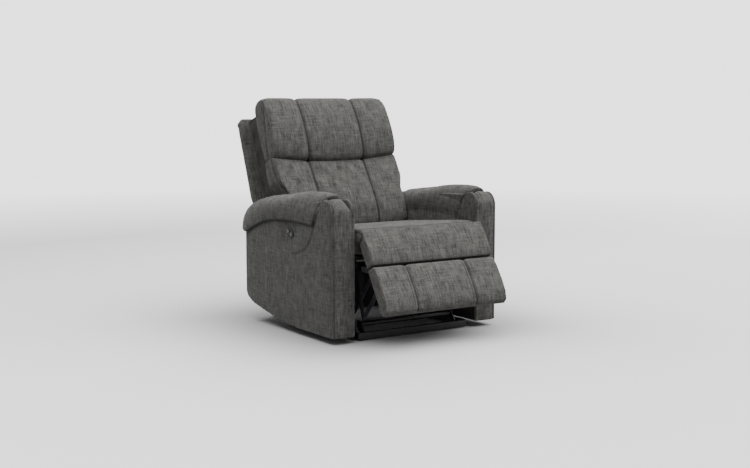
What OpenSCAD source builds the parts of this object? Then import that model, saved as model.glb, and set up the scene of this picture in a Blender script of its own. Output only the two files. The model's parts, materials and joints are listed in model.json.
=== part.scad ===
// Power recliner armchair: padded back, scooter arms, pop-up footrest.
// Millimetres. +X is the sitter's left, +Y the rear, +Z up. The origin is on the
// floor under the middle of the chair. The chair stands half open.

/* [Overall] */
// Seat height where the knees bend, at the top of the front roll
seat_height = 496; // [494:1:498]
// Width between the outer faces of the two arms
arm_span = 876; // [870:2:884]
// Thickness of one arm, without its pad
arm_width = 111; // [109:1:113]
// How far the back structure leans from upright as the chair stands
back_lean = 20.8; // [18:0.2:22]
// How far the footrest stands open from upright
footrest_rest = 31; // [25:1:36]

/* [Cushions] */
// Half width of the seat cushion and the footrest pads
seat_half = 316; // [308:1:317]
// Half width of the head cushion
head_half = 345; // [335:1:345]
// Thickness of the footrest pads
footrest_pad = 48; // [40:1:48]
// Front to back thickness of the rear shell
shell_depth = 40; // [36:1:44]

/* [Mechanism] */
// Distance from the footrest centre to the drive shaft
front_arm = 150; // [148:1:151]
// Distance from the footrest centre to the idler pivot
rear_arm = 240; // [238:1:241]
// Distance along a crank to the upper coupler
upper_reach = 165; // [163:1:166]
// Distance along a crank to the lower coupler
lower_reach = 250; // [248:1:250]
// Radius of the linkage pins
pin_r = 4; // [3:0.5:4]
// Length of the lever that the drive nut pushes
lever_len = 60; // [58:1:60]

/* [Base] */
// Side of the square base tube
tube = 28; // [24:1:28]
// Radius of the floor fixing holes
fixing_r = 4.5; // [3:0.5:5]
// Spacing of the floor fixing holes across the chair
fixing_x = 580; // [576:1:584]
// Spacing of the floor fixing holes front to rear
fixing_y = 500; // [460:5:520]

/* [Hidden] */
$fn = 48;
run = 0.08;                       // radial clearance of a turning pin
plate = 4;                        // thickness of a steel plate
foot_h = 6;                       // height of the floor glides
rail_top = foot_h + tube;

// Footrest centre of rotation and its panel angles
roll_r = 34;
knee_y = -410;
knee_z = seat_height - roll_r;
crank_lean = footrest_rest - 15;
arm_fall = 40;                    // the coupler line falls this far from vertical
drive_y = knee_y + front_arm * sin(arm_fall);
drive_z = knee_z - front_arm * cos(arm_fall);
idler_y = knee_y + rear_arm * sin(arm_fall);
idler_z = knee_z - rear_arm * cos(arm_fall);
lever_lean = 12.2;

// Back hinge, and the link that tips the back as the seat glides
hip_y = 165;
hip_z = 385;
hip_r = 6;
swing_y = 94;
swing_z = 105;
tip_y = 150;
tip_z = 335;

// Planes of the side plates, from the middle outwards
x_bracket = 262;
x_coupler = 268;
x_crank = 274;
x_plate = 280;
x_back = 286;
x_link = 292;
x_upright = 300;

// Arms
arm_out = arm_span / 2;
arm_in = arm_out - arm_width;
panel = 15;
arm_front = -400;
arm_rear = 383;
corner_r = 64;
corner_y = arm_front + corner_r;
corner_z = 555;
pad_in = arm_in - 6;
pad_out = arm_out + 14;
arm_top_line = [[-309, 604], [-300, 598], [0, 588], [198, 556], [295, 531], [arm_rear, 471]];
pad_top_line = [[-345, 620.5], [-330, 633], [-245, 642], [-160, 643], [12, 632], [198, 606],
                [295, 581], [395, 538], [430, 508], [445, 470], [440, 426]];
pad_hem_line = [[363, 416], [267, 452], [199, 475], [122, 493], [20, 500], [-250, 498],
                [-267, 547], [-288, 587], [-309, 605]];

// Switch
switch_y = -43;
switch_z = 450;
switch_tilt = 25;
button_r = 9;
button_gap = 14.5;

// ---------------------------------------------------------------- helpers

// A box from its lowest to its highest corner
module block(lo, hi) {
    translate(lo) cube([hi[0] - lo[0], hi[1] - lo[1], hi[2] - lo[2]]);
}

// The children and their mirror image across the middle of the chair
module both() {
    children();
    mirror([1, 0, 0]) children();
}

// A side profile drawn as [y, z], made solid from x to x + thick
module slab(x, thick) {
    translate([x, 0, 0]) rotate([90, 0, 90]) linear_extrude(thick) children();
}

// A round bar along X from x0 to x1, at y, z
module bar_x(x0, x1, y, z, r) {
    translate([x0, y, z]) rotate([0, 90, 0]) cylinder(h = x1 - x0, r = r);
}

// A flat link that hangs down from its origin, with round ends and holes at each reach
module link_shape(length, width, reaches, hole) {
    difference() {
        union() {
            translate([-width / 2, -length]) square([width, length]);
            circle(width / 2);
            translate([0, -length]) circle(width / 2);
        }
        for (reach = reaches) translate([0, -reach]) circle(hole);
    }
}

// Places of the four linkage points, reached down a leaning line
function down_y(y, reach, lean) = y - reach * sin(lean);
function down_z(z, reach, lean) = z - reach * cos(lean);

// The back's own frame: z runs up the back, y is depth behind the hinge
module in_back() {
    translate([0, hip_y, hip_z]) rotate([-back_lean, 0, 0]) children();
}

// The footrest's own frame: -z runs down the panel from the knee, -y is its front
module in_footrest() {
    translate([0, knee_y, knee_z]) rotate([-footrest_rest, 0, 0]) children();
}

// A pad with rounded long edges, lying across the chair in the footrest's frame
module rounded_pad(half, front, rear, top, bottom, r) {
    translate([-half, 0, 0]) rotate([90, 0, 90]) linear_extrude(2 * half) {
        translate([front, bottom + r]) square([rear - front, top - bottom - 2 * r]);
        translate([front + r, bottom]) square([rear - front - r, top - bottom]);
        translate([front + r, bottom + r]) circle(r);
        translate([front + r, top - r]) circle(r);
    }
}

// ---------------------------------------------------------------- base frame

// Square tube, drawn as [across, up]
module tube_shape() {
    difference() {
        square(tube);
        translate([3, 3]) square(tube - 6);
    }
}

module base_front_rail() {
    color("#1b1b1c") translate([-292, -345, foot_h]) rotate([90, 0, 90])
        translate([-25, 0]) linear_extrude(584) difference() {
            square([25, tube]);
            translate([3, 3]) square([19, tube - 6]);
        }
}

module base_side_rails() {
    color("#1b1b1c") both() difference() {
        translate([304 - tube, 330, foot_h]) rotate([90, 0, 0]) linear_extrude(675) tube_shape();
        for (y = [-fixing_y / 2, fixing_y / 2])
            translate([fixing_x / 2, y, 0]) cylinder(h = 60, r = fixing_r);
    }
}

module base_rear_rail() {
    color("#1b1b1c") translate([tube - 304, 302, foot_h]) rotate([90, 0, 90])
        linear_extrude(2 * (304 - tube)) tube_shape();
}

tube_y = -305;
tube_z = 61;
tube_r = 11;

module cross_tube() {
    color("#232324") rotate([0, 90, 0]) translate([-tube_z, tube_y, -245])
        linear_extrude(490) difference() {
            circle(tube_r);
            circle(tube_r - 2);
        }
    color("#232324") both() slab(245, plate)
        polygon([[-345, 8], [-345, 32], [-318, 76], [-292, 76], [-292, 48], [-325, 8]]);
}

glide_z = 240;
glide_r = 10;
glide_places = [-160, 60];
glide_back = 15;
glide_forward = 45;

module base_uprights() {
    color("#2a2a2b") both() slab(x_upright, plate) difference() {
        polygon([[-245, rail_top], [-245, 262], [100, 262], [115, 240], [115, rail_top]]);
        for (y = glide_places) {
            translate([y - glide_forward, glide_z]) circle(glide_r + run);
            translate([y + glide_back, glide_z]) circle(glide_r + run);
            translate([y - glide_forward, glide_z - glide_r - run])
                square([glide_forward + glide_back, 2 * (glide_r + run)]);
        }
    }
}

module swing_pins() {
    color("silver") both() bar_x(x_link - 1, x_upright, swing_y, swing_z, pin_r);
}

module floor_glides() {
    color("#111111") both() for (y = [-330, -100, 130, 315])
        translate([290, y, 0]) {
            cylinder(h = 3, r = 13);
            translate([0, 0, 3]) cylinder(h = foot_h - 3, r = 10);
        }
}

// ---------------------------------------------------------------- arms

module arm_brackets() {
    color("#2a2a2b") both() for (y = [-200, 70])
        block([x_upright + plate, y - 25, 150], [arm_in, y + 25, 190]);
}

module arm_posts() {
    color("#c9a878") both() {
        block([arm_in + panel + 3, arm_front + panel, 45], [arm_out - panel - 3, -345, 540]);
        block([arm_in + panel + 3, 336, 115], [arm_out - panel - 3, arm_rear - 12, 455]);
    }
}

module arm_rear_panels() {
    color("#5b5b5d") both()
        block([arm_in + panel, arm_rear - 12, 138], [arm_out - panel, arm_rear, 455]);
}

module arm_rails() {
    color("#c9a878") both() {
        block([arm_in + panel + 3, -345, 92], [arm_in + panel + 33, 336, 132]);
        block([arm_in + panel + 3, -345, 492], [arm_in + panel + 33, 240, 528]);
    }
}

module arm_top_boards() {
    color("#c9a878") both() slab(arm_in + panel, arm_width - 2 * panel)
        polygon(concat(arm_top_line, [for (i = [5 : -1 : 0])
            [arm_top_line[i][0] - (i > 3 ? 6 : 0), arm_top_line[i][1] - 12]]));
}

// Side outline of an arm inside its front band
module arm_outline() {
    polygon(concat([[arm_front + panel, 28], [arm_front + panel, corner_z],
        [corner_y, corner_z], [corner_y, corner_z + corner_r - panel]], arm_top_line,
        [[arm_rear, 136], [368, 109], [300, 84], [200, 65], [50, 41], [-100, 28]]));
    translate([corner_y, corner_z]) circle(corner_r - panel, $fn = 96);
}

module arm_inner_panels() {
    color("#5b5b5d") both() slab(arm_in, panel) arm_outline();
}

module arm_outer_panels() {
    color("#5b5b5d") both() slab(arm_out - panel, panel) arm_outline();
}

module arm_front_bands() {
    color("#606062") both() slab(arm_in + 4, arm_width - 4) difference() {
        union() {
            translate([arm_front, 28]) square([panel, corner_z - 28]);
            intersection() {
                translate([corner_y, corner_z]) circle(corner_r, $fn = 96);
                translate([arm_front, corner_z]) square(corner_r);
            }
            translate([corner_y, corner_z + corner_r - panel]) square([27, panel]);
        }
        translate([corner_y, corner_z]) circle(corner_r - panel, $fn = 96);
    }
}

module arm_pads() {
    flap = concat(pad_top_line, pad_hem_line);
    crown = concat(pad_top_line, [[arm_rear + 1, 414], [arm_rear + 1, 471]],
        [for (i = [5 : -1 : 0]) arm_top_line[i]], [[-309, 620.5]]);
    color("#606062") both() {
        slab(pad_in, pad_out - pad_in) polygon(crown);
        slab(pad_in, arm_in - pad_in - 0.3) polygon(flap);
        slab(arm_out + 0.3, pad_out - arm_out - 0.3) polygon(flap);
    }
}

// ---------------------------------------------------------------- switch and power

// The switch's own frame on the outer face of the right arm, z pointing outwards
module on_switch() {
    translate([-arm_out, switch_y, switch_z]) rotate([switch_tilt, 0, 0])
        rotate([0, -90, 0]) children();
}

module switch_bezel() {
    color("#161617") on_switch() difference() {
        linear_extrude(3) {
            square([40, 22], center = true);
            square([22, 62], center = true);
            for (y = [-11, 11]) translate([0, y]) circle(20, $fn = 64);
        }
        for (y = [-button_gap, button_gap])
            translate([0, y, -1]) cylinder(h = 6, r = button_r + run);
    }
}

module button(side) {
    on_switch() translate([0, side * button_gap, 1.6]) {
        cylinder(h = 4, r = button_r);
        translate([0, 0, 4]) cylinder(h = 1, r1 = button_r, r2 = button_r - 1);
    }
}

module open_button() { color("#3a3a3c") button(-1); }
module close_button() { color("#3a3a3c") button(1); }

module control_box() {
    color("#151516") block([-80, 240, rail_top], [80, 330, 72]);
}

module power_inlet() {
    color("#0f0f10") translate([0, 330, 53]) rotate([-90, 0, 0]) difference() {
        cylinder(h = 20, r = 10);
        translate([0, 0, 5]) cylinder(h = 16, r = 4);
    }
}

// ---------------------------------------------------------------- seat

side_low = 225;
side_top = 354;
rail_h = 17;
spring_z = side_top + rail_h;
cushion_z = spring_z + 4;

module seat_side_plates() {
    color("#303032") both() slab(x_plate, plate) difference() {
        union() {
            polygon([[-336, side_top], [-336, 330], [-290, 250], [-190, side_low],
                [90, side_low], [hip_y + 20, 350], [hip_y + 20, hip_z], [hip_y - 20, hip_z],
                [hip_y - 42, side_top]]);
            translate([hip_y, hip_z]) circle(20);
        }
        translate([drive_y, drive_z]) circle(8 + run);
    }
}

module seat_front_rail() {
    color("#303032") block([-x_plate - plate, -372, side_top], [x_plate + plate, -336, spring_z]);
}

module seat_side_rails() {
    color("#303032") both() block([x_plate + plate, -372, side_top], [314, 100, spring_z]);
}

module seat_rear_rail() {
    color("#303032") block([-x_plate - plate, 70, side_top], [x_plate + plate, 100, spring_z]);
}

// One sinuous spring, lying along Y from 0 to its length
module spring_shape(length, turns) {
    pitch = length / turns;
    for (i = [0 : turns - 1]) {
        side = i % 2 == 0 ? 1 : -1;
        translate([side * 16, (i + 0.5) * pitch]) intersection() {
            difference() {
                circle(pitch / 2 + 2, $fn = 32);
                circle(pitch / 2 - 2, $fn = 32);
            }
            translate([side > 0 ? 0 : -pitch, -pitch]) square([pitch, 2 * pitch]);
        }
        translate([-16, (i + 1) * pitch - 2]) square([32, i < turns - 1 ? 4 : 0.01]);
    }
}

module seat_springs() {
    color("#8d8f92") for (x = [-220 : 110 : 220]) translate([x, -360, spring_z])
        linear_extrude(4) spring_shape(450, 9);
}

module seat_cushion() {
    color("#5b5b5d") slab(-seat_half, 2 * seat_half) {
        polygon([[-376, cushion_z], [-376, knee_z], [knee_y, seat_height],
            [-330, seat_height - 1], [-150, 478], [40, 460], [92, 452], [98, 440],
            [98, cushion_z]]);
        translate([knee_y, knee_z]) circle(roll_r, $fn = 96);
    }
}

module glide_pins() {
    color("silver") both() for (y = glide_places)
        bar_x(x_plate + plate, x_upright - 1, y, glide_z, 5);
}

module glide_bushes() {
    color("#e6e4dc") both() for (y = glide_places)
        bar_x(x_upright - 1, x_upright + plate + 1, y, glide_z, glide_r);
}

module hip_pins() {
    color("silver") both() bar_x(x_plate + plate, x_back + plate + 1, hip_y, hip_z, hip_r);
}

module idler_pivot_pins() {
    color("silver") both() bar_x(x_crank - 1, x_plate, idler_y, idler_z, pin_r);
}

// ---------------------------------------------------------------- drive

screw_z = 247;
screw_r = 5;
nut_y = drive_y + lever_len * sin(lever_lean);
lever_pin_z = drive_z - lever_len * cos(lever_lean);

module actuator_track() {
    color("#9a9c9f") translate([0, 35, 0]) rotate([90, 0, 0]) linear_extrude(405)
        difference() {
            translate([-18, 232]) square([36, 26]);
            translate([-15, 235]) square([30, 24]);
        }
}

module lead_screw() {
    color("silver") translate([0, 50, screw_z]) rotate([90, 0, 0]) cylinder(h = 415, r = screw_r);
}

module drive_motor() {
    color("#1d1d1f") {
        block([-32, 50, 222], [32, 100, 282]);
        translate([0, 75, 222]) mirror([0, 0, 1]) cylinder(h = 92, r = 27);
    }
}

module front_hanger() {
    color("#303032") {
        both() block([26, -368, 228], [30, -350, side_top]);
        block([-26, -368, 228], [26, -350, 232]);
    }
}

module rear_hanger() {
    color("#303032") both() block([32, 72, 240], [36, 98, side_top]);
}

module drive_nut() {
    slot_low = 281;
    slot_high = 312;
    color("#e6e4dc") difference() {
        union() {
            block([-14.5, nut_y - 15, 236], [14.5, nut_y + 15, 272]);
            both() block([7, nut_y - 11, 272], [12, nut_y + 11, slot_high + 5]);
        }
        translate([0, 50, screw_z]) rotate([90, 0, 0]) cylinder(h = 415, r = screw_r + run);
        block([-20, nut_y - 6, slot_low], [20, nut_y + 6, slot_high]);
    }
}

// ---------------------------------------------------------------- footrest linkage

module torque_tube() {
    color("#9a9c9f") {
        bar_x(-x_crank, x_crank, drive_y, drive_z, 12);
        both() bar_x(x_crank + plate, x_plate + plate - 0.2, drive_y, drive_z, 8);
    }
}

module drive_lever() {
    color("#9a9c9f") translate([-5, drive_y, drive_z]) rotate([lever_lean, 0, 0])
        rotate([90, 0, 90]) linear_extrude(10) difference() {
            union() {
                circle(18);
                translate([-9, -lever_len]) square([18, lever_len]);
                translate([0, -lever_len]) circle(9);
            }
            circle(12.05);
            translate([0, -lever_len]) circle(pin_r + 0.05);
        }
}

module lever_pin() {
    color("silver") bar_x(-13, 13, nut_y, lever_pin_z, pin_r);
}

module hang(x, y, z, lean) {
    translate([x, y, z]) rotate([-lean, 0, 0]) rotate([90, 0, 90]) linear_extrude(plate) children();
}

module drive_cranks() {
    color("#3c3c3f") both() hang(x_crank, drive_y, drive_z, crank_lean)
        link_shape(lower_reach, 22, [], 0);
}

module crank_pins() {
    color("silver") both() for (reach = [upper_reach, lower_reach])
        bar_x(x_coupler - 1, x_crank, down_y(drive_y, reach, crank_lean),
            down_z(drive_z, reach, crank_lean), pin_r);
}

module idler_cranks() {
    color("#3c3c3f") both() hang(x_crank, idler_y, idler_z, crank_lean)
        link_shape(upper_reach, 22, [0], pin_r + run);
}

module idler_pins() {
    color("silver") both() bar_x(x_coupler - 1, x_crank,
        down_y(idler_y, upper_reach, crank_lean), down_z(idler_z, upper_reach, crank_lean), pin_r);
}

module upper_couplers() {
    color("#3c3c3f") both() hang(x_coupler, down_y(knee_y, upper_reach, crank_lean),
            down_z(knee_z, upper_reach, crank_lean), -arm_fall) difference() {
        link_shape(rear_arm, 22, [front_arm], pin_r + run);
        circle(pin_r + 0.5);
        translate([0, -rear_arm]) circle(pin_r + 0.5);
    }
}

module lower_couplers() {
    color("#3c3c3f") both() hang(x_coupler, down_y(knee_y, lower_reach, crank_lean),
            down_z(knee_z, lower_reach, crank_lean), -arm_fall) difference() {
        link_shape(front_arm, 22, [front_arm], pin_r + run);
        circle(pin_r + 0.5);
    }
}

// ---------------------------------------------------------------- footrest

pad_face = -roll_r;
pad_rear = pad_face + footrest_pad;
board_rear = pad_rear + 15;

module footrest_board() {
    color("#b9a07a") in_footrest() block([-300, pad_rear, -362], [300, board_rear, -62]);
}

module footrest_upper_pad() {
    color("#5b5b5d") in_footrest()
        rounded_pad(seat_half, pad_face, pad_rear, -37, -155, 18);
}

module footrest_lower_pad() {
    color("#5b5b5d") in_footrest()
        rounded_pad(seat_half, pad_face, pad_rear, -157, -371, 18);
}

module footrest_brackets() {
    color("#3c3c3f") both() in_footrest() slab(x_bracket, plate)
        polygon([[board_rear, -120], [board_rear, -300], [50, -268], [78, -252], [80, -232],
            [56, -150], [44, -140]]);
}

module footrest_pins() {
    color("silver") both() for (reach = [upper_reach, lower_reach])
        bar_x(x_bracket + plate, x_coupler + plate + 1, down_y(knee_y, reach, crank_lean),
            down_z(knee_z, reach, crank_lean), pin_r);
}

// ---------------------------------------------------------------- back

module back_brackets() {
    tip_lift = [tip_y - hip_y, tip_z - hip_z];
    tip_depth = tip_lift[0] * cos(back_lean) - tip_lift[1] * sin(back_lean);
    tip_along = tip_lift[0] * sin(back_lean) + tip_lift[1] * cos(back_lean);
    color("#303032") both() in_back() slab(x_back, plate) difference() {
        union() {
            circle(18);
            translate([tip_depth, tip_along]) circle(11);
            polygon([[-16, 0], [tip_depth - 11, tip_along], [tip_depth + 11, tip_along - 2],
                [88, -58], [135, -58], [135, 150], [88, 150], [80, 30], [10, 16]]);
        }
        circle(hip_r + run);
    }
    color("#303032") both() bar_x(x_back + 1, x_link + plate + 1, tip_y, tip_z, pin_r);
}

module back_stiles() {
    color("#c9a878") both() in_back() block([x_bracket, 88, -60], [x_back, 200, 640]);
}

module back_rails() {
    color("#c9a878") in_back() {
        block([-x_bracket, 150, -60], [x_bracket, 200, 0]);
        block([-x_bracket, 150, 330], [x_bracket, 200, 380]);
        block([-x_bracket, 150, 590], [x_bracket, 200, 640]);
        block([-x_bracket, 88, 600], [x_bracket, 110, 640]);
    }
}

module back_straps() {
    color("#8a8a86") in_back() for (z = [30 : 95 : 600])
        block([-x_back, 84, z], [x_back, 88, z + 50]);
}

module back_side_linings() {
    color("#1c1c1d") both() in_back() block([x_back + plate + 1, 86, 155], [299, 208, 640]);
}

lumbar_wide = head_half - 2;
module lumbar_cushion() {
    color("#606062") in_back() {
        rotate([90, 0, 0]) translate([0, 0, -75]) linear_extrude(75) {
            polygon([[-seat_half, 40], [seat_half, 40], [seat_half, 298], [lumbar_wide, 352],
                [lumbar_wide, 396], [-lumbar_wide, 396], [-lumbar_wide, 352],
                [-seat_half, 298]]);
            translate([-258, -20]) square([516, 61]);
        }
        translate([-seat_half, 0, 0]) rotate([90, 0, 90]) linear_extrude(2 * seat_half)
            polygon([[0, 48], [0, 396], [-22, 375], [-54, 280], [-75, 200], [-84, 113],
                [-68, 60], [-52, 48]]);
        translate([-258, 0, 0]) rotate([90, 0, 90]) linear_extrude(516)
            polygon([[0, -20], [0, 49], [-52, 49], [-46, 10], [-20, -20]]);
    }
}

module head_cushion() {
    color("#606062") in_back() translate([-head_half, 0, 0]) rotate([90, 0, 90])
        linear_extrude(2 * head_half) polygon([[75, 402], [75, 640], [40, 684], [0, 692],
            [-22, 686], [-50, 600], [-64, 510], [-52, 440], [-20, 402]]);
}

module back_shell() {
    shell_front = 210;
    shell_rear = shell_front + shell_depth;
    round_r = 40;
    color("#5b5b5d") in_back() translate([0, shell_rear, 0]) rotate([90, 0, 0])
        linear_extrude(shell_depth) {
            translate([-seat_half, -76]) square([2 * seat_half, 330]);
            translate([-354, 250]) square([708, 670 - 250 - round_r]);
            translate([-354 + round_r, 400]) square([708 - 2 * round_r, 270]);
            for (x = [-354 + round_r, 354 - round_r])
                translate([x, 670 - round_r]) circle(round_r, $fn = 64);
        }
}

// Link from the base to the back: a plain eye on the base pin, a wide one at the back
module recline_links() {
    swing_lean = atan2(swing_y - tip_y, tip_z - swing_z);
    length = norm([tip_y - swing_y, tip_z - swing_z]);
    eye_play = 6.5;
    color("#3c3c3f") both() translate([x_link, swing_y, swing_z]) rotate([swing_lean, 0, 0])
        rotate([90, 0, 90]) linear_extrude(plate) difference() {
            union() {
                translate([-11, 0]) square([22, length]);
                circle(12);
                translate([0, length]) circle(18);
            }
            circle(pin_r + run);
            translate([0, length]) circle(pin_r + eye_play);
        }
}

base_front_rail();
base_side_rails();
base_rear_rail();
cross_tube();
base_uprights();
swing_pins();
floor_glides();
arm_brackets();
arm_posts();
arm_rear_panels();
arm_rails();
arm_top_boards();
arm_inner_panels();
arm_outer_panels();
arm_front_bands();
arm_pads();
switch_bezel();
open_button();
close_button();
control_box();
power_inlet();
seat_side_plates();
seat_front_rail();
seat_side_rails();
seat_rear_rail();
seat_springs();
seat_cushion();
glide_pins();
glide_bushes();
hip_pins();
idler_pivot_pins();
actuator_track();
lead_screw();
drive_motor();
front_hanger();
rear_hanger();
drive_nut();
torque_tube();
drive_lever();
lever_pin();
drive_cranks();
crank_pins();
idler_cranks();
idler_pins();
upper_couplers();
lower_couplers();
footrest_board();
footrest_upper_pad();
footrest_lower_pad();
footrest_brackets();
footrest_pins();
back_brackets();
back_stiles();
back_rails();
back_straps();
back_side_linings();
lumbar_cushion();
head_cushion();
back_shell();
recline_links();
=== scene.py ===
"""Looks of a power recliner armchair: upholstery, stitching, frame finishes and studio."""

import json
import logging
import math
from collections.abc import Callable, Sequence
from dataclasses import dataclass, field
from enum import Enum

import bmesh
import bpy
import numpy as np
from mathutils import Matrix, Vector
from mathutils.bvhtree import BVHTree


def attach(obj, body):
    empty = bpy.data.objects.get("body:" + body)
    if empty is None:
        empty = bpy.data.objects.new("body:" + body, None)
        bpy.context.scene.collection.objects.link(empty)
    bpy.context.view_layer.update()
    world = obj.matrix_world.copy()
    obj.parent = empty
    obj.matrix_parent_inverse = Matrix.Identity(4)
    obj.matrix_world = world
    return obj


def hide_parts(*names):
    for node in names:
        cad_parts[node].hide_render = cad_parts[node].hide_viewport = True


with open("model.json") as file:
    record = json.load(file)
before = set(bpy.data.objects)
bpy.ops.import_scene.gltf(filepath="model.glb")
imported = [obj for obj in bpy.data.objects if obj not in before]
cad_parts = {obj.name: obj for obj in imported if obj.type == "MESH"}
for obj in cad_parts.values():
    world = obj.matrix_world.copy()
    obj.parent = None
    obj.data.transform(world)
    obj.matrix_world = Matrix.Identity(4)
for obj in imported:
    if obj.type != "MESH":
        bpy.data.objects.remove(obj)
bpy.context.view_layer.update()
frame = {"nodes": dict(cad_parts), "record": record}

log = logging.getLogger("recliner")

Field = Callable[[np.ndarray], np.ndarray]
Point = tuple[float, float]

SWELL_FRAMES = 20
VALLEY_REACH = 0.028
SEAM_SHADE_SHARE = 0.45
OFF_SEAM = 0.2
STITCH_SIGHT = 0.6
STITCH_GAP = 0.03
SIDE_PLANE = (1, 2)


# ---------------------------------------------------------------- shader maths


class Wire:
    """A value in a material, on which ordinary arithmetic adds Math nodes."""

    def __init__(self, tree: bpy.types.NodeTree, socket: bpy.types.NodeSocket) -> None:
        """Keep the socket and the tree it belongs to."""
        self.tree = tree
        self.socket = socket

    def _math(self, operation: str, first: "Wire | float", second: "Wire | float") -> "Wire":
        """Add one Math node.

        Args:
            operation: The Math node's operation.
            first: Its first value.
            second: Its second value.

        Returns:
            The node's result.
        """
        node = self.tree.nodes.new("ShaderNodeMath")
        node.operation = operation
        for socket, value in zip(node.inputs, (first, second)):
            plug(self.tree, socket, value)
        return Wire(self.tree, node.outputs[0])

    def __add__(self, other: "Wire | float") -> "Wire":
        """Return the sum."""
        return self._math("ADD", self, other)

    __radd__ = __add__

    def __sub__(self, other: "Wire | float") -> "Wire":
        """Return the difference."""
        return self._math("SUBTRACT", self, other)

    def __rsub__(self, other: float) -> "Wire":
        """Return other minus this."""
        return self._math("SUBTRACT", other, self)

    def __mul__(self, other: "Wire | float") -> "Wire":
        """Return the product."""
        return self._math("MULTIPLY", self, other)

    __rmul__ = __mul__

    def __pow__(self, other: float) -> "Wire":
        """Return the power."""
        return self._math("POWER", self, other)

    def __abs__(self) -> "Wire":
        """Return the size without its sign."""
        return self._math("ABSOLUTE", self, 0.0)

    def raised(self) -> "Wire":
        """Return the value, or 0 where it is lower."""
        return self._math("MAXIMUM", self, 0.0)

    def clipped(self) -> "Wire":
        """Return the value held between 0 and 1."""
        return self._math("MINIMUM", self, 1.0).raised()


def plug(tree: bpy.types.NodeTree, socket: bpy.types.NodeSocket,
         value: "Wire | float | Sequence[float]") -> None:
    """Link a Wire to a socket, or set the socket's own value.

    Args:
        tree: The tree that the socket is in.
        socket: An input of one of its nodes.
        value: What the input gets.
    """
    if isinstance(value, Wire):
        tree.links.new(value.socket, socket)
    else:
        socket.default_value = value


def toned(colour: Sequence[float], share: float, lift: float = 0.0) -> tuple[float, ...]:
    """Return a lighter or darker colour.

    Args:
        colour: The colour to start from.
        share: What each channel is multiplied by.
        lift: What is added to each channel after that.

    Returns:
        The new colour.
    """
    return tuple(min(1.0, share * value + lift) for value in colour)


class Recipe:
    """One material under construction, with its Principled shader."""

    def __init__(self, name: str) -> None:
        """Start an empty material.

        Args:
            name: The new piece's name.
        """
        self.material = bpy.data.materials.new(name)
        self.material.use_nodes = True
        self.tree = self.material.node_tree
        self.tree.nodes.clear()
        self.shader = self.tree.nodes.new("ShaderNodeBsdfPrincipled")
        self.out = self.tree.nodes.new("ShaderNodeOutputMaterial")
        self.tree.links.new(self.shader.outputs[0], self.out.inputs["Surface"])

    def node(self, kind: str, settings: dict, sockets: dict, output: int | str = 0) -> Wire:
        """Add a node.

        Args:
            kind: The node's type.
            settings: Attributes set before the sockets.
            sockets: A value or a Wire for each named input.
            output: Which output to return.

        Returns:
            The chosen output.
        """
        node = self.tree.nodes.new(kind)
        for key, value in settings.items():
            setattr(node, key, value)
        for key, value in sockets.items():
            plug(self.tree, node.inputs[key], value)
        return Wire(self.tree, node.outputs[output])

    def coords(self, which: str = "Object") -> Wire:
        """Return the piece's own coordinates or its UV map."""
        return self.node("ShaderNodeTexCoord", {}, {}, which)

    def stretched(self, vector: Wire, scale: Sequence[float]) -> Wire:
        """Return the vector scaled along each of its axes."""
        return self.node("ShaderNodeMapping", {}, {"Vector": vector, "Scale": tuple(scale)})

    def noise(self, vector: Wire, scale: float = 1.0, detail: float = 2.0) -> Wire:
        """Return a noise value about 0.5."""
        sockets = {"Vector": vector, "Scale": scale, "Detail": detail, "Roughness": 0.6}
        return self.node("ShaderNodeTexNoise", {}, sockets)

    def blend(self, factor: Wire, low: "Sequence[float] | Wire", high: "Sequence[float] | Wire") -> Wire:
        """Mix two colours.

        Args:
            factor: How much of the second colour there is, from 0 to 1.
            low: The first colour.
            high: The second colour.

        Returns:
            The mixed colour.
        """
        first, second = (tone if isinstance(tone, Wire) else (*tone, 1.0) for tone in (low, high))
        sockets = {"Factor": factor, 6: first, 7: second}
        return self.node("ShaderNodeMix", {"data_type": "RGBA"}, sockets, 2)

    def bump(self, height: Wire, distance: float, strength: float = 0.6) -> None:
        """Drive the shader's normal with a height in metres."""
        sockets = {"Height": height, "Distance": distance, "Strength": strength}
        self.feed("Normal", self.node("ShaderNodeBump", {}, sockets))

    def feed(self, socket: str, value: "Wire | float | Sequence[float]") -> None:
        """Set or link one of the shader's sockets."""
        plug(self.tree, self.shader.inputs[socket], value)


@dataclass(frozen=True)
class Weave:
    """Chenille and linen look cloth, with slubs and clouding, and painted shade along its sewn creases."""

    name: str
    dark: tuple[float, float, float]
    light: tuple[float, float, float]
    contrast: float = 1.0

    def make(self) -> bpy.types.Material:
        """Return the cloth's material."""
        mix = Recipe(self.name)
        uv = mix.coords("UV")
        layers = ((620, 42, 3.0), (36, 540, 3.0), (150, 13, 2.0), (15, 130, 2.0), (26, 18, 3.0),
                  (330, 330, 2.0))
        threads = [mix.noise(mix.stretched(uv, (across, along, 1)), 1.0, detail)
                   for across, along, detail in layers]
        warp, weft, warp_slub, weft_slub, _, _ = threads
        shares = (1.0, 0.7, 0.95, 0.6, 0.7, 0.9)
        tone = 0.5 + self.contrast * sum((wire - 0.5) * share for wire, share in zip(threads, shares))
        seam_shade = mix.node("ShaderNodeAttribute", {"attribute_name": "seam_shade"}, {}, "Fac")
        cloth = mix.blend(tone.clipped(), self.dark, self.light)
        # Painted shade: the cloth darkens to near black where the seam mark is high, along sewn creases.
        mix.feed("Base Color", mix.blend((seam_shade * 0.92).clipped(), cloth, toned(self.dark, 0.16)))
        mix.feed("Roughness", (0.97 - 0.1 * warp).clipped())
        mix.bump(warp + weft * 0.8 + (warp_slub + weft_slub) * 0.9, 0.0011, 0.55)
        mix.feed("Sheen Weight", 0.12)
        mix.feed("Sheen Roughness", 0.45)
        mix.feed("Specular IOR Level", 0.25)
        return mix.material


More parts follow.
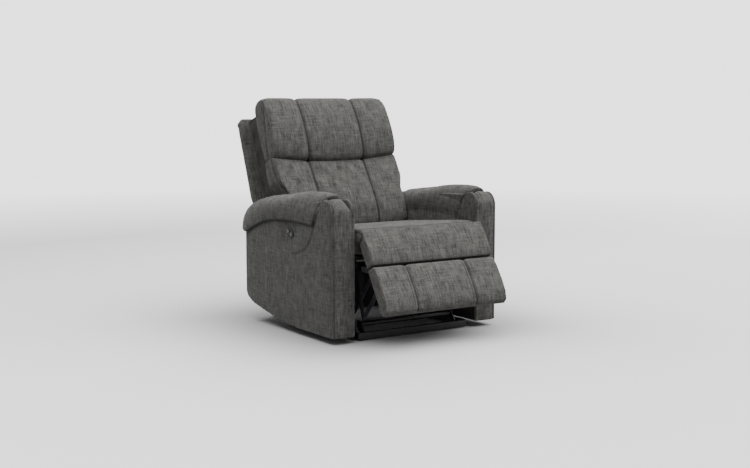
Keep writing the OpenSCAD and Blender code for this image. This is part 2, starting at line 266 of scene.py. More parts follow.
@dataclass(frozen=True)
class Thread:
    """Twisted sewing thread."""

    name: str
    colour: tuple[float, float, float]

    def make(self) -> bpy.types.Material:
        """Return the thread's material."""
        mix = Recipe(self.name)
        ply = mix.noise(mix.coords(), 900.0)
        mix.feed("Base Color", mix.blend(ply, toned(self.colour, 0.6), self.colour))
        mix.feed("Roughness", 0.75)
        mix.bump(ply, 0.0004)
        return mix.material


@dataclass(frozen=True)
class CoatedSteel:
    """Powder coated steel with an orange peel surface and worn patches."""

    name: str
    colour: tuple[float, float, float]
    roughness: float = 0.42

    def make(self) -> bpy.types.Material:
        """Return the coating's material."""
        mix = Recipe(self.name)
        place = mix.coords()
        peel = mix.noise(place, 520.0)
        patch = mix.noise(place, 14.0, 4.0)
        worn = toned(self.colour, 2.0, 0.01)
        mix.feed("Base Color", mix.blend(((patch - 0.45) * 1.6).clipped(), self.colour, worn))
        mix.feed("Roughness", (self.roughness + (patch - 0.5) * 0.35).clipped())
        mix.bump(peel, 0.0003, 0.35)
        return mix.material


@dataclass(frozen=True)
class BareMetal:
    """Drawn or rolled metal with fine lines across the chair."""

    name: str
    colour: tuple[float, float, float]
    roughness: float = 0.34

    def make(self) -> bpy.types.Material:
        """Return the metal's material."""
        mix = Recipe(self.name)
        place = mix.coords()
        lines = mix.noise(mix.stretched(place, (30, 900, 900)), 1.0, 2.0)
        stain = mix.noise(place, 22.0, 3.0)
        dull = toned(self.colour, 0.55)
        mix.feed("Base Color", mix.blend((stain * 0.6 + lines * 0.4).clipped(), dull, self.colour))
        mix.feed("Metallic", 1.0)
        mix.feed("Roughness", (self.roughness + (lines - 0.5) * 0.3).clipped())
        mix.bump(lines, 0.0002, 0.3)
        return mix.material


@dataclass(frozen=True)
class Plastic:
    """Moulded plastic with a fine spark texture."""

    name: str
    colour: tuple[float, float, float]
    roughness: float = 0.5
    gloss: float = 0.5

    def make(self) -> bpy.types.Material:
        """Return the plastic's material."""
        mix = Recipe(self.name)
        place = mix.coords()
        spark = mix.noise(place, 1500.0)
        haze = mix.noise(place, 35.0)
        pale = toned(self.colour, 1.5, 0.004)
        mix.feed("Base Color", mix.blend(haze, self.colour, pale))
        mix.feed("Roughness", (self.roughness + (haze - 0.5) * 0.2).clipped())
        mix.feed("Specular IOR Level", self.gloss)
        mix.bump(spark, 0.0002, 0.3)
        return mix.material


@dataclass(frozen=True)
class Timber:
    """Sawn hardwood or plywood with rings running along the piece."""

    name: str
    early: tuple[float, float, float]
    late: tuple[float, float, float]
    along: tuple[float, float, float] = (60.0, 6.0, 6.0)

    def make(self) -> bpy.types.Material:
        """Return the timber's material."""
        mix = Recipe(self.name)
        place = mix.stretched(mix.coords(), self.along)
        bend = mix.noise(place, 0.6, 2.0)
        ring = mix.noise(place, 3.0, 5.0)
        pores = mix.noise(mix.stretched(mix.coords(), [8 * scale for scale in self.along]), 1.0)
        grain = ((ring - 0.35) * 1.8 + (bend - 0.5) * 0.6).clipped()
        mix.feed("Base Color", mix.blend(grain, self.early, self.late))
        mix.feed("Roughness", (0.72 + (pores - 0.5) * 0.3).clipped())
        mix.bump(pores + grain * 0.4, 0.0005, 0.5)
        return mix.material


class Finish(Enum):
    """Every finish on the chair."""

    # Painted shade: a darker copy of the charcoal cloth, for the recesses beside and above the back's
    # frame.
    SHADE_PAINTED_CLOTH = Weave("shade_painted_weave", (0.011, 0.011, 0.0105), (0.062, 0.061, 0.058))
    CLOTH = Weave("charcoal_weave", (0.0205, 0.0203, 0.0193), (0.137, 0.135, 0.127), 1.3)
    LINING = Weave("black_lining", (0.006, 0.006, 0.0062), (0.02, 0.02, 0.021), 0.7)
    WEBBING = Weave("grey_webbing", (0.16, 0.155, 0.14), (0.4, 0.39, 0.36), 0.8)
    THREAD = Thread("charcoal_thread", (0.05, 0.05, 0.048))
    FRAME_STEEL = CoatedSteel("black_coated_steel", (0.0085, 0.0085, 0.009))
    LINK_STEEL = CoatedSteel("grey_coated_steel", (0.022, 0.022, 0.024), 0.36)
    BRIGHT_STEEL = BareMetal("zinc_steel", (0.24, 0.24, 0.25), 0.42)
    ALLOY = BareMetal("drawn_alloy", (0.2, 0.2, 0.21), 0.45)
    BLACK_PLASTIC = Plastic("black_plastic", (0.007, 0.007, 0.0075), 0.52, 0.22)
    BUTTON_PLASTIC = Plastic("button_plastic", (0.010, 0.010, 0.011), 0.60, 0.26)
    NYLON = Plastic("white_nylon", (0.36, 0.35, 0.32), 0.45)
    TIMBER = Timber("stained_timber", (0.075, 0.052, 0.034), (0.03, 0.02, 0.013))

    @property
    def material(self) -> bpy.types.Material:
        """The finish's material, made the first time it is asked for."""
        found = bpy.data.materials.get(self.value.name)
        return found or self.value.make()


# ---------------------------------------------------------------- mesh tools


def deselect() -> None:
    """Leave nothing selected."""
    bpy.ops.object.select_all(action="DESELECT")


def take(piece: bpy.types.Object) -> None:
    """Make a piece the only one selected and the active one.

    Args:
        piece: The piece.
    """
    deselect()
    piece.select_set(True)
    bpy.context.view_layer.objects.active = piece


def vertices_of(piece: bpy.types.Object) -> np.ndarray:
    """Return the piece's vertices, one row each.

    Args:
        piece: The piece.

    Returns:
        The coordinates.
    """
    flat = np.empty(len(piece.data.vertices) * 3)
    piece.data.vertices.foreach_get("co", flat)
    return flat.reshape(-1, 3)


def move_vertices(piece: bpy.types.Object, points: np.ndarray) -> None:
    """Put the piece's vertices at these points."""
    piece.data.vertices.foreach_set("co", np.ascontiguousarray(points, float).ravel())
    piece.data.update()


def normals_of(piece: bpy.types.Object) -> np.ndarray:
    """Return the piece's vertex normals, one row each.

    Args:
        piece: The piece.

    Returns:
        The normals.
    """
    flat = np.empty(len(piece.data.vertices) * 3)
    piece.data.vertex_normals.foreach_get("vector", flat)
    return flat.reshape(-1, 3)


def smooth_step(value: np.ndarray | float, low: float, high: float) -> np.ndarray:
    """Return 0 below low, 1 above high and a smooth rise between."""
    t = np.clip((np.asarray(value, float) - low) / (high - low), 0.0, 1.0)
    return t * t * (3 - 2 * t)


def settle(piece: bpy.types.Object) -> None:
    """Merge doubles, point the faces outwards and put the place into the mesh.

    Args:
        piece: The piece.
    """
    take(piece)
    bpy.ops.object.transform_apply(location=True, rotation=True, scale=True)
    bpy.ops.object.mode_set(mode="EDIT")
    bpy.ops.mesh.select_all(action="SELECT")
    bpy.ops.mesh.remove_doubles(threshold=1e-5)
    bpy.ops.mesh.normals_make_consistent(inside=False)
    bpy.ops.object.mode_set(mode="OBJECT")


@dataclass(frozen=True)
class Axes:
    """A leaning local frame, with its axes across the chair, in depth and in height."""

    origin: tuple[float, float, float]
    lean: float

    @property
    def turn(self) -> np.ndarray:
        """The matrix whose columns are the local axes, as the chair's frame has them."""
        c, s = math.cos(self.lean), math.sin(self.lean)
        return np.array([[1, 0, 0], [0, c, s], [0, -s, c]])

    def outward(self, local: np.ndarray) -> np.ndarray:
        """Return local points in the chair's frame."""
        return np.asarray(local, float) @ self.turn.T + np.array(self.origin)

    def inward(self, points: np.ndarray) -> np.ndarray:
        """Return points of the chair's frame in the local frame."""
        return (points - np.array(self.origin)) @ self.turn


LEVEL = Axes((0.0, 0.0, 0.0), 0.0)


def rounded(outline: Sequence[Point], times: int = 2) -> list[Point]:
    """Return a closed outline with its corners cut and eased a few times.

    Args:
        outline: The outline.
        times: How many times it is done.

    Returns:
        The new outline.
    """
    points = list(outline)
    for _ in range(times):
        eased = []
        for here, there in zip(points, points[1:] + points[:1]):
            eased.append((0.8 * here[0] + 0.2 * there[0], 0.8 * here[1] + 0.2 * there[1]))
            eased.append((0.2 * here[0] + 0.8 * there[0], 0.2 * here[1] + 0.8 * there[1]))
        points = eased
    return points


def block_from_outline(name: str, outline: Sequence[Point], low: float, high: float,
                       axes: Axes = LEVEL, bevel: float = 0.0) -> bpy.types.Object:
    """Extrude a side outline across the chair and round its two rims.

    Args:
        name: The piece's name.
        outline: Points as (depth, height) in the local frame, in metres.
        low: Where the block starts across the chair.
        high: Where it ends.
        axes: The local frame.
        bevel: Radius of the rounded rims.

    Returns:
        The closed block.
    """
    deselect()
    bpy.ops.mesh.primitive_circle_add(vertices=len(outline), fill_type="NGON")
    piece = bpy.context.object
    piece.name = piece.data.name = name
    local = np.array([(low, depth, height) for depth, height in outline])
    move_vertices(piece, axes.outward(local))
    bpy.ops.object.transform_apply(location=True, rotation=True, scale=True)
    bpy.ops.object.mode_set(mode="EDIT")
    bpy.ops.mesh.select_all(action="SELECT")
    bpy.ops.mesh.extrude_region_move(TRANSFORM_OT_translate={"value": (high - low, 0, 0)})
    bpy.ops.mesh.select_all(action="SELECT")
    bpy.ops.mesh.normals_make_consistent(inside=False)
    if bevel > 0:
        bpy.ops.mesh.select_all(action="DESELECT")
        rims = bmesh.from_edit_mesh(piece.data)
        for edge in rims.edges:
            first, second = (vertex.co.x for vertex in edge.verts)
            edge.select_set(abs(first - second) < 1e-6)
        bpy.ops.mesh.bevel(offset=bevel, segments=5, profile=0.5, affect="EDGES",
                           clamp_overlap=True)
    bpy.ops.object.mode_set(mode="OBJECT")
    return piece


def formed_sheet(name: str, across: int, along: int,
                 place: Callable[[np.ndarray, np.ndarray], np.ndarray],
                 thick: float) -> bpy.types.Object:
    """Form a flat grid over a shape and give it thickness on its inner side.

    Args:
        name: The piece's name.
        across: Number of faces across.
        along: Number of faces along.
        place: Gives the points for arrays of u and v from 0 to 1.
        thick: The wall's thickness.

    Returns:
        The closed shell.
    """
    deselect()
    bpy.ops.mesh.primitive_grid_add(x_subdivisions=across, y_subdivisions=along, size=2)
    piece = bpy.context.object
    piece.name = piece.data.name = name
    flat = vertices_of(piece)
    move_vertices(piece, place((flat[:, 0] + 1) / 2, (flat[:, 1] + 1) / 2))
    apply_modifier(piece, "SOLIDIFY", thickness=thick, offset=-1)
    settle(piece)
    return piece


def remesh(piece: bpy.types.Object, voxel: float) -> None:
    """Rebuild the piece as even quads.

    Args:
        piece: The piece.
        voxel: The length of a face, in metres.
    """
    take(piece)
    piece.data.remesh_voxel_size = voxel
    piece.data.remesh_voxel_adaptivity = 0
    bpy.ops.object.voxel_remesh()


def apply_modifier(piece: bpy.types.Object, kind: str, **settings: float) -> None:
    """Add a modifier, set it up and apply it.

    Args:
        piece: The piece that it changes.
        kind: The modifier's type.
        **settings: The modifier's own attributes.
    """
    take(piece)
    modifier = piece.modifiers.new(kind.lower(), kind)
    for key, value in settings.items():
        setattr(modifier, key, value)
    bpy.ops.object.modifier_apply(modifier=modifier.name)


def ease(piece: bpy.types.Object, passes: int) -> None:
    """Even out the surface, in a number of passes."""
    apply_modifier(piece, "SMOOTH", iterations=passes, factor=0.5)


def refine(piece: bpy.types.Object) -> None:
    """Divide every face once, smoothly."""
    apply_modifier(piece, "SUBSURF", levels=1, render_levels=1)


def swell(piece: bpy.types.Object, held: Field, cap: float, pressure: float = 4.0) -> None:
    """Fill the cover with air as cloth, held along its seams.

    Args:
        piece: A closed mesh of even quads.
        held: Tells which points are held.
        cap: The furthest that a point may move, in metres.
        pressure: The pressure inside.
    """
    start = vertices_of(piece)
    take(piece)
    group = piece.vertex_groups.new(name="held")
    group.add(np.flatnonzero(held(start)).tolist(), 1.0, "REPLACE")
    cloth = piece.modifiers.new("swell", "CLOTH")
    settings = {"quality": 4, "mass": 0.3, "tension_stiffness": 22, "compression_stiffness": 22,
                "bending_stiffness": 1.2, "use_pressure": True, "uniform_pressure_force": pressure,
                "vertex_group_mass": group.name}
    for key, value in settings.items():
        setattr(cloth.settings, key, value)
    cloth.settings.effector_weights.gravity = 0
    cloth.collision_settings.use_collision = False
    cloth.collision_settings.use_self_collision = False
    cloth.point_cache.frame_start, cloth.point_cache.frame_end = 1, SWELL_FRAMES
    for step in range(1, SWELL_FRAMES + 1):
        bpy.context.scene.frame_set(step)
    bpy.ops.object.modifier_apply(modifier=cloth.name)
    bpy.context.scene.frame_set(1)
    piece.vertex_groups.clear()
    moved = vertices_of(piece) - start
    length = np.linalg.norm(moved, axis=1, keepdims=True)
    move_vertices(piece, start + moved * np.minimum(1, cap / np.maximum(length, 1e-9)))
    ease(piece, 3)
    refine(piece)


@dataclass
class Seam:
    """A sewn line.

    Attributes:
        distance: Gives how far each point is from the line.
        depth: How far the line is pulled in, in metres.
        reach: How wide the pull is.
        dark: How dark the painted shade along the line is, from 0 to 1.
        valley: Depth of the wide dip on both sides.
    """

    distance: Field
    depth: float = 0.005
    reach: float = 0.007
    dark: float = 0.9
    valley: float = 0.0


def sew(piece: bpy.types.Object, seams: Sequence[Seam]) -> None:
    """Pull the surface in along its seams and mark painted shade along them for the cloth's colour.

    Args:
        piece: The piece.
        seams: The sewn lines.
    """
    points = vertices_of(piece)
    normals = normals_of(piece)
    seam_shade = np.zeros(len(points))
    sink = np.zeros(len(points))
    for seam in seams:
        away = seam.distance(points)
        dip = seam.valley * np.exp(-away / VALLEY_REACH)
        sink = np.maximum(sink, seam.depth * np.exp(-((away / seam.reach) ** 2)) + dip)
        # Painted shade: each seam marks a narrow dark band along its line, read by the cloth's colour.
        seam_shade = np.maximum(seam_shade, seam.dark * np.exp(-((away / (SEAM_SHADE_SHARE * seam.reach)) ** 2)))
    move_vertices(piece, points - normals * sink[:, None])
    layer = piece.data.attributes.new("seam_shade", "FLOAT", "POINT")
    layer.data.foreach_set("value", seam_shade.astype(np.float32))


def lay_cloth(piece: bpy.types.Object, axes: Axes = LEVEL) -> None:
    """Lay the weave on the piece in metres, its warp running up or front to rear.

    Args:
        piece: The piece.
        axes: The frame that the weave follows.
    """
    mesh = piece.data
    count = len(mesh.polygons)
    normals = np.empty(count * 3)
    mesh.polygons.foreach_get("normal", normals)
    facing = np.abs(normals.reshape(-1, 3) @ axes.turn)
    totals = np.empty(count, np.int32)
    mesh.polygons.foreach_get("loop_total", totals)
    corner = np.empty(len(mesh.loops), np.int32)
    mesh.loops.foreach_get("vertex_index", corner)
    local = axes.inward(vertices_of(piece))[corner]
    side = np.repeat(np.argmax(facing, axis=1), totals)
    columns = np.array([[1, 2], [0, 2], [0, 1]])[side]
    rows = np.arange(len(local))
    uv = np.stack([local[rows, columns[:, 0]], local[rows, columns[:, 1]]], axis=1)
    apart, start = 3.7, 5.0
    uv += side[:, None] * apart + start
    while mesh.uv_layers:
        mesh.uv_layers.remove(mesh.uv_layers[0])
    layer = mesh.uv_layers.new(name="weave")
    layer.active = layer.active_render = True
    layer.data.foreach_set("uv", uv.astype(np.float32).ravel())


def dress(piece: bpy.types.Object, finish: Finish) -> None:
    """Give the piece one finish and smooth shading.

    Args:
        piece: The piece.
        finish: The finish.
    """
    piece.data.materials.clear()
    piece.data.materials.append(finish.material)
    take(piece)
    bpy.ops.object.shade_smooth()


def place_piece(piece: bpy.types.Object, body: str, nodes: Sequence[str] = ()) -> bpy.types.Object:
    """Hand a finished piece to the frame.

    Args:
        piece: The piece.
        body: The CAD body it rides on.
        nodes: The CAD nodes that it stands for.

    Returns:
        The piece.
    """
    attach(piece, body)
    if nodes:
        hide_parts(*nodes)
    log.info("%s on %s: %d faces", piece.name, body, len(piece.data.polygons))
    return piece


def upholster(piece: bpy.types.Object, body: str, seams: Sequence[Seam], axes: Axes,
              nodes: Sequence[str] = (),
              finish: Finish = Finish.CLOTH) -> None:
    """Sew a cover, lay and finish its cloth, and hand it to the frame.

    Args:
        piece: The cover.
        body: The CAD body it rides on.
        seams: Its sewn lines.
        axes: The frame that the weave follows.
        nodes: The CAD nodes that it stands for.
        finish: Its cloth.
    """
    sew(piece, seams)
    lay_cloth(piece, axes)
    dress(piece, finish)
    place_piece(piece, body, nodes)


def mirrored(piece: bpy.types.Object, name: str) -> bpy.types.Object:
    """Return a copy of the piece on the other side of the chair, with its own mesh.

    Args:
        piece: The piece.
        name: The new piece's name.

    Returns:
        The copy.
    """
    take(piece)
    twin = piece.copy()
    twin.data = piece.data.copy()
    twin.name = twin.data.name = name
    bpy.context.collection.objects.link(twin)
    twin.data.transform(Matrix.Scale(-1, 4, (1, 0, 0)))
    twin.data.flip_normals()
    for key in [key for key in twin.keys() if key.startswith("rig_")]:
        del twin[key]
    return twin


@dataclass
class Needle:
    """Sews rows of short thread stitches onto a surface."""

    name: str
    pitch: float = 0.0085
    length: float = 0.0062
    radius: float = 0.0009
    places: list[tuple[Vector, Vector, Vector]] = field(default_factory=list)

    def line(self, cover: bpy.types.Object, axes: Axes, corners: Sequence[Sequence[float]],
             towards: Sequence[float] = (0.0, 1.0, 0.0)) -> None:
        """Find the stitches of one straight row.

        Args:
            cover: The piece that is sewn.
            axes: The frame of the other values.
            corners: Where the row starts and ends, outside the cover.
            towards: The direction towards the cover.
        """
        spots = axes.outward(np.array(path(corners)))
        self.row(cover, [Vector(spot) for spot in spots], Vector(axes.turn @ np.array(towards)))

    def row(self, cover: bpy.types.Object, starts: Sequence[Vector], aim: Vector) -> None:
        """Find the stitches of one row.

        Args:
            cover: The piece that is sewn.
            starts: Points outside it, along the row.
            aim: The direction towards the cover.
        """
        tree = BVHTree.FromObject(cover, bpy.context.evaluated_depsgraph_get())
        hits = []
        for start in starts:
            spot, normal, _, _ = tree.ray_cast(start, aim.normalized(), STITCH_SIGHT)
            if spot is not None:
                hits.append((spot, normal))
        travelled = 0.0
        for (here, normal), (there, _) in zip(hits, hits[1:]):
            step = there - here
            if step.length > STITCH_GAP:
                continue
            travelled += step.length
            if travelled >= self.pitch:
                travelled -= self.pitch
                self.places.append((there, step.normalized(), normal))

    def finish(self) -> bpy.types.Object:
        """Return all the stitches as one piece."""
        deselect()
        bpy.ops.mesh.primitive_cylinder_add(vertices=6, radius=self.radius, depth=self.length)
        model = bpy.context.object
        bpy.ops.object.mode_set(mode="EDIT")
        bpy.ops.mesh.select_all(action="SELECT")
        bpy.ops.mesh.bevel(offset=self.radius * 0.45, segments=1, affect="EDGES")
        bpy.ops.object.mode_set(mode="OBJECT")
        stock = bmesh.new()
        stock.from_mesh(model.data)
        sewn = bmesh.new()
        for spot, along, normal in self.places:
            sideways = along.cross(normal).normalized()
            up = sideways.cross(along).normalized()
            turn = Matrix((sideways, up, along)).transposed().to_4x4()
            matrix = Matrix.Translation(spot + up * self.radius * 0.35) @ turn
            index = {}
            for vertex in stock.verts:
                index[vertex.index] = sewn.verts.new(matrix @ vertex.co)
            for face in stock.faces:
                sewn.faces.new([index[vertex.index] for vertex in face.verts])
        sewn.to_mesh(model.data)
        stock.free()
        sewn.free()
        model.name = model.data.name = self.name
        model.data.update()
        settle(model)
        dress(model, Finish.THREAD)
        return model


def path(points: Sequence[Sequence[float]], step: float = 0.003) -> list[Vector]:
    """Return points at even steps along a chain of points.

    Args:
        points: Rows of points in the chair's frame.
        step: The distance between the points.

    Returns:
        The points.
    """
    corners = [Vector(point) for point in points]
    found = []
    for start, end in zip(corners, corners[1:]):
        count = max(1, round((end - start).length / step))
        found.extend(start.lerp(end, place / count) for place in range(count))
    return found + [corners[-1]]


def chain_distance(points: np.ndarray, chain: Sequence[Point], columns: tuple[int, int]) -> np.ndarray:
    """Return how far points are from a chain of points in a plane.

    Args:
        points: Rows of coordinates.
        chain: The chain's corners.
        columns: The two coordinates that the plane is in.

    Returns:
        One distance for each point.
    """
    flat = points[:, columns]
    best = np.full(len(flat), 1e3)
    for start, end in zip(chain, chain[1:]):
        a, b = np.array(start), np.array(end)
        t = np.clip(((flat - a) @ (b - a)) / max(float((b - a) @ (b - a)), 1e-12), 0, 1)
        best = np.minimum(best, np.linalg.norm(flat - a - t[:, None] * (b - a), axis=1))
    return best


# ---------------------------------------------------------------- back


HIP = Axes((0.0, 0.165, 0.385), math.radians(20.8))
KNEE = Axes((0.0, -0.410, 0.462), math.radians(31.0))


@dataclass
class BackCushions:
    """The lumbar and head cushions, each sewn into three channels."""

    head_half: float = 0.340
    seat_half: float = 0.316
    channel: float = 0.153
    head_outline: Sequence[Point] = (
        (0.064, 0.396), (0.078, 0.50), (0.078, 0.64), (0.070, 0.684), (0.040, 0.702),
        (0.000, 0.704), (-0.020, 0.690), (-0.040, 0.640), (-0.054, 0.565), (-0.059, 0.505),
        (-0.056, 0.450), (-0.042, 0.408), (-0.014, 0.394))
    lumbar_outline: Sequence[Point] = (
        (0.074, -0.010), (0.074, 0.20), (0.074, 0.398), (0.030, 0.402), (-0.016, 0.402),
        (-0.030, 0.388), (-0.044, 0.300), (-0.062, 0.215), (-0.074, 0.125), (-0.066, 0.066),
        (-0.044, 0.030), (0.000, -0.010))

    def build(self) -> None:
        """Make both cushions and their stitching."""
        self.head()
        self.lumbar()

    def channels(self, points: np.ndarray) -> np.ndarray:
        """Return the distance from the two channel seams, on the front and the top.

        Args:
            points: Rows of points in the chair's frame.

        Returns:
            One distance for each point.
        """
        local = HIP.inward(points)
        away = np.abs(np.abs(local[:, 0]) - self.channel)
        return away + 0.5 * smooth_step(local[:, 1], 0.045, 0.07)

    def sag(self, local: np.ndarray) -> np.ndarray:
        """Return how far the seam between the cushions hangs at each point across."""
        return 0.024 * np.clip(1 - (local[:, 0] / self.head_half) ** 2, 0, 1)

    def head_boxing(self, points: np.ndarray) -> np.ndarray:
        """Return the distance from the seam between the head's face and its boxing.

        Args:
            points: Rows of points in the chair's frame.

        Returns:
            One distance for each point.
        """
        local = HIP.inward(points)
        on_side = smooth_step(np.abs(local[:, 0]), self.head_half - 0.035, self.head_half - 0.018)
        bow = 0.004 + 0.020 * np.cos((local[:, 2] - 0.4) / 0.29 * math.pi)
        return np.abs(local[:, 1] - bow) + OFF_SEAM * (1 - on_side)

    def head(self) -> None:
        """Make the head cushion."""
        half = self.head_half
        piece = block_from_outline("head_cushion_cover", rounded(self.head_outline, 1), -half, half,
                                   HIP, 0.014)
        remesh(piece, 0.0072)
        ease(piece, 2)

        def held(points: np.ndarray) -> np.ndarray:
            """Tell which points are held.

            Args:
                points: Rows of points in the chair's frame.

            Returns:
                True where a point is held.
            """
            local = HIP.inward(points)
            seams = np.minimum(self.channels(points), self.head_boxing(points))
            rear = (local[:, 1] > 0.062) | (local[:, 2] < 0.402)
            return (seams < 0.0045) | rear

        swell(piece, held, 0.022, 5.0)
        local = HIP.inward(vertices_of(piece))
        local[:, 2] -= self.sag(local) * smooth_step(-local[:, 2], -0.50, -0.40)
        corner = smooth_step(np.abs(local[:, 0]), half - 0.05, half + 0.01)
        local[:, 2] -= 0.009 * corner * smooth_step(local[:, 2], 0.62, 0.70)
        move_vertices(piece, HIP.outward(local))
        # Painted shade: the dark values darken the cloth along the channel and boxing seams.
        seams = [Seam(self.channels, 0.005, 0.011, 0.95, 0.005), Seam(self.head_boxing, 0.004, 0.007, 0.8)]
        upholster(piece, "back", seams, HIP, ["head_cushion"])
        self.stitch("head_stitching", piece, 0.42, 0.66)

    def stitch(self, name: str, cover: bpy.types.Object, low: float, high: float) -> None:
        """Sew a row up the front of a cushion, beside each channel seam.

        Args:
            name: The stitching's name.
            cover: The cushion.
            low: The height where the rows start.
            high: The height where they end.
        """
        needle = Needle(name)
        for x in (-self.channel - 0.009, self.channel - 0.009):
            needle.line(cover, HIP, [(x, -0.2, low), (x, -0.2, high)])
        place_piece(needle.finish(), "back")

    def lumbar_side(self, points: np.ndarray) -> np.ndarray:
        """Return the distance from the seam down each side of the lumbar face.

        Args:
            points: Rows of points in the chair's frame.

        Returns:
            One distance for each point.
        """
        local = HIP.inward(points)
        line = np.interp(local[:, 2], [0.06, 0.213, 0.263, 0.40], [-0.045, -0.046, -0.026, 0.006])
        on_side = smooth_step(np.abs(local[:, 0]), 0.285, 0.305)
        return np.abs(local[:, 1] - line) + OFF_SEAM * (1 - on_side)

    def lumbar(self) -> None:
        """Make the lumbar cushion."""
        half = self.seat_half
        piece = block_from_outline("lumbar_cushion_cover", rounded(self.lumbar_outline, 1), -half,
                                   half, HIP, 0.014)
        remesh(piece, 0.0075)
        ease(piece, 2)
        local = HIP.inward(vertices_of(piece))
        spread = 1 + (0.341 / half - 1) * smooth_step(local[:, 2], 0.205, 0.295)
        tuck = 1 - 0.17 * smooth_step(-local[:, 2], -0.06, -0.02)
        local[:, 0] *= spread * tuck
        local[:, 2] -= self.sag(local) * smooth_step(local[:, 2], 0.30, 0.40)
        move_vertices(piece, HIP.outward(local))

        def held(points: np.ndarray) -> np.ndarray:
            """Tell which points are held.

            Args:
                points: Rows of points in the chair's frame.

            Returns:
                True where a point is held.
            """
            local = HIP.inward(points)
            seams = np.minimum(self.channels(points), self.lumbar_side(points))
            rear = (local[:, 1] > 0.05) | (local[:, 2] < 0.03) | (local[:, 2] + self.sag(local) > 0.392)
            sides = np.abs(local[:, 0]) > np.where(local[:, 2] < 0.30, 0.310, 0.338)
            return (seams < 0.0045) | rear | sides

        swell(piece, held, 0.020, 4.0)
        # Painted shade: the dark values darken the cloth along the channel and side seams.
        seams = [Seam(self.channels, 0.005, 0.011, 0.95, 0.004), Seam(self.lumbar_side, 0.004, 0.008, 0.8)]
        upholster(piece, "back", seams, HIP, ["lumbar_cushion"])
        self.stitch("lumbar_stitching", piece, 0.10, 0.375)


@dataclass
class RearShell:
    """The padded rear of the back, with its border seam, and the side linings in the darker cloth of
    painted shade.
    """

    low: float = -0.074
    shoulder: float = 0.250
    top: float = 0.676
    front: float = 0.210
    rear: float = 0.252
    half: float = 0.358
    lower_half: float = 0.314
    yoke_height: float = 0.50

    def build(self) -> None:
        """Make the shell, its stitching and the linings."""
        outline = [(self.front, self.low), (self.rear, self.low), (self.rear, self.top),
                   (self.front, self.top)]
        piece = block_from_outline("rear_shell_cover", outline, -self.half, self.half, HIP, 0.009)
        remesh(piece, 0.0090)
        local = HIP.inward(vertices_of(piece))
        waist = self.lower_half / self.half
        local[:, 0] *= 1 - (1 - waist) * smooth_step(-local[:, 2], -self.shoulder, -self.shoulder + 0.014)
        round_off = np.clip((local[:, 2] - self.top + 0.03) / 0.03, 0, 1)
        limit = self.half - 0.03 * (1 - np.sqrt(1 - round_off**2))
        local[:, 0] = np.clip(local[:, 0], -limit, limit)
        move_vertices(piece, HIP.outward(local))
        ease(piece, 2)

        def held(points: np.ndarray) -> np.ndarray:
            """Tell which points are held."""
            local = HIP.inward(points)
            return (local[:, 1] < self.front + 0.006) | (self.border(points) < 0.005)

        swell(piece, held, 0.012, 3.0)
        # Painted shade: the border and yoke seams are darkened in the cloth's colour.
        seams = [Seam(seam, 0.003, 0.007, 0.8) for seam in (self.border, self.yoke)]
        upholster(piece, "back", seams, HIP, ["back_shell"])
        needle = Needle("shell_stitching")
        for height in (self.yoke_height - 0.008, self.yoke_height + 0.008):
            needle.line(piece, HIP, [(-0.33, 0.4, height), (0.33, 0.4, height)], (0.0, -1.0, 0.0))
        place_piece(needle.finish(), "back")
        for side, word in ((-1, "right"), (1, "left")):
            self.lining(side, word)
        self.cap()

    def border(self, points: np.ndarray) -> np.ndarray:
        """Return the distance from the seam round the shell's edge.

        Args:
            points: Rows of points in the chair's frame.

        Returns:
            One distance for each point.
        """
        local = HIP.inward(points)
        on_side, on_top = (smooth_step(place, edge - 0.03, edge - 0.01) for place, edge in
                           ((np.abs(local[:, 0]), self.lower_half), (local[:, 2], self.top)))
        middle = 0.5 * (self.front + self.rear)
        return np.abs(local[:, 1] - middle) + 0.5 * OFF_SEAM * (1 - np.maximum(on_side, on_top))

    def yoke(self, points: np.ndarray) -> np.ndarray:
        """Return the distance from the seam across the rear, below the head."""
        local = HIP.inward(points)
        return np.abs(local[:, 2] - self.yoke_height) + 0.5 * OFF_SEAM * (local[:, 1] < self.rear - 0.012)

    def cap(self) -> None:
        """Close the top of the frame with the darker cloth of painted shade, drawn taut."""
        half, front, rear = 0.3, 0.076, 0.212
        outline = [(front, 0.655), (rear, 0.655), (rear, 0.661), (front, 0.661)]
        piece = block_from_outline("back_top_lining", outline, -half, half, HIP, 0.0015)
        remesh(piece, 0.0046)
        local = HIP.inward(vertices_of(piece))
        along = np.clip((local[:, 1] - front) / (rear - front), 0, 1)
        local[:, 2] -= 0.004 * (1 - (local[:, 0] / half) ** 2) * np.sin(along * math.pi)
        move_vertices(piece, HIP.outward(local))
        ease(piece, 2)
        upholster(piece, "back", [], HIP, finish=Finish.SHADE_PAINTED_CLOTH)

    def lining(self, side: int, word: str) -> None:
        """Make one lining beside the back's frame, in the darker cloth of painted shade, with slack folds
        in its cloth.

        Args:
            side: -1 on the sitter's right, 1 on the left.
            word: The side's name.
        """
        outline = [(0.080, 0.155), (0.211, 0.155), (0.211, 0.659), (0.080, 0.659)]
        ends = sorted((side * 0.2905, side * 0.300))
        piece = block_from_outline(f"back_lining_{word}", outline, ends[0], ends[1], HIP, 0.0)
        remesh(piece, 0.0046)
        points = vertices_of(piece)
        local = HIP.inward(points)
        fold = 0.0018 * np.sin(local[:, 2] * 55 + 14 * local[:, 1]) * np.sin(local[:, 1] * 26)
        points[:, 0] += side * np.where(side * local[:, 0] > 0.295, fold, 0)
        move_vertices(piece, points)
        ease(piece, 3)
        upholster(piece, "back", [], HIP, ["back_side_linings"], finish=Finish.SHADE_PAINTED_CLOTH)


# ---------------------------------------------------------------- seat and footrest


